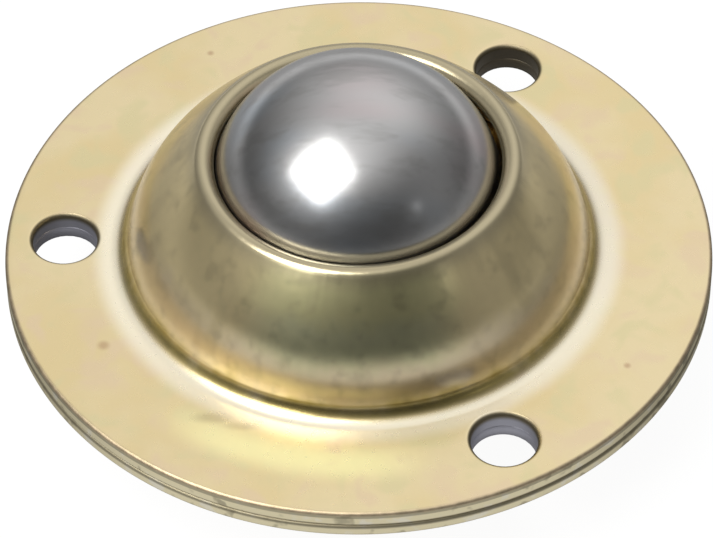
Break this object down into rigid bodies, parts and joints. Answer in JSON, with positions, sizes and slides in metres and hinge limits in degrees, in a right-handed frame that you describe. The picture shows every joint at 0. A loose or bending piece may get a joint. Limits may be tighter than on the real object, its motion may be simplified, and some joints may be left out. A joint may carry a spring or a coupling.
{
  "type": "ball castor",
  "caption": "Ball castor with a polished steel load ball in a domed pressed-steel housing on a round flange with screw holes, rolling on a bed of small balls.",
  "frame": {"origin": "centre of the fixing-hole circle on the flange's underside, which lies on what the castor is fixed to", "axes": "+Z along the castor's axis towards the load ball; -X through one of the fixing holes"},
  "size_m": [0.06, 0.06, 0.0304],
  "materials": {
    "passivated_plate": "pressed steel sheet, zinc plated and yellow passivated, satin",
    "ball_steel": "ground and polished bearing steel"
  },
  "bodies": {
    "housing": {"top_housing": "passivated_plate", "base_cup": "passivated_plate"},
    "ball_bed": {"support_ball_00": "ball_steel", "support_ball_01": "ball_steel", "support_ball_02": "ball_steel", "support_ball_03": "ball_steel", "support_ball_04": "ball_steel", "support_ball_05": "ball_steel", "support_ball_06": "ball_steel", "support_ball_07": "ball_steel", "support_ball_08": "ball_steel", "support_ball_09": "ball_steel", "support_ball_10": "ball_steel", "support_ball_11": "ball_steel", "support_ball_12": "ball_steel", "support_ball_13": "ball_steel", "support_ball_14": "ball_steel", "support_ball_15": "ball_steel", "support_ball_16": "ball_steel", "support_ball_17": "ball_steel", "support_ball_18": "ball_steel", "support_ball_19": "ball_steel", "support_ball_20": "ball_steel", "support_ball_21": "ball_steel", "support_ball_22": "ball_steel", "support_ball_23": "ball_steel", "support_ball_24": "ball_steel", "support_ball_25": "ball_steel", "support_ball_26": "ball_steel", "support_ball_27": "ball_steel", "support_ball_28": "ball_steel", "support_ball_29": "ball_steel", "support_ball_30": "ball_steel", "support_ball_31": "ball_steel", "support_ball_32": "ball_steel", "support_ball_33": "ball_steel", "support_ball_34": "ball_steel", "support_ball_35": "ball_steel"},
    "rolling_ball": {"load_ball": "ball_steel"}
  },
  "joints": [
    {"name": "bed_swivel", "type": "hinge", "parent": "housing", "child": "ball_bed", "pos_m": [0, 0, 0.0084], "axis": [0, 0, 1], "continuous": true},
    {"name": "ball_roll", "type": "hinge", "parent": "ball_bed", "child": "rolling_ball", "pos_m": [-0.00013, 0, 0.0084], "axis": [1, 0, 0], "continuous": true}
  ]
}
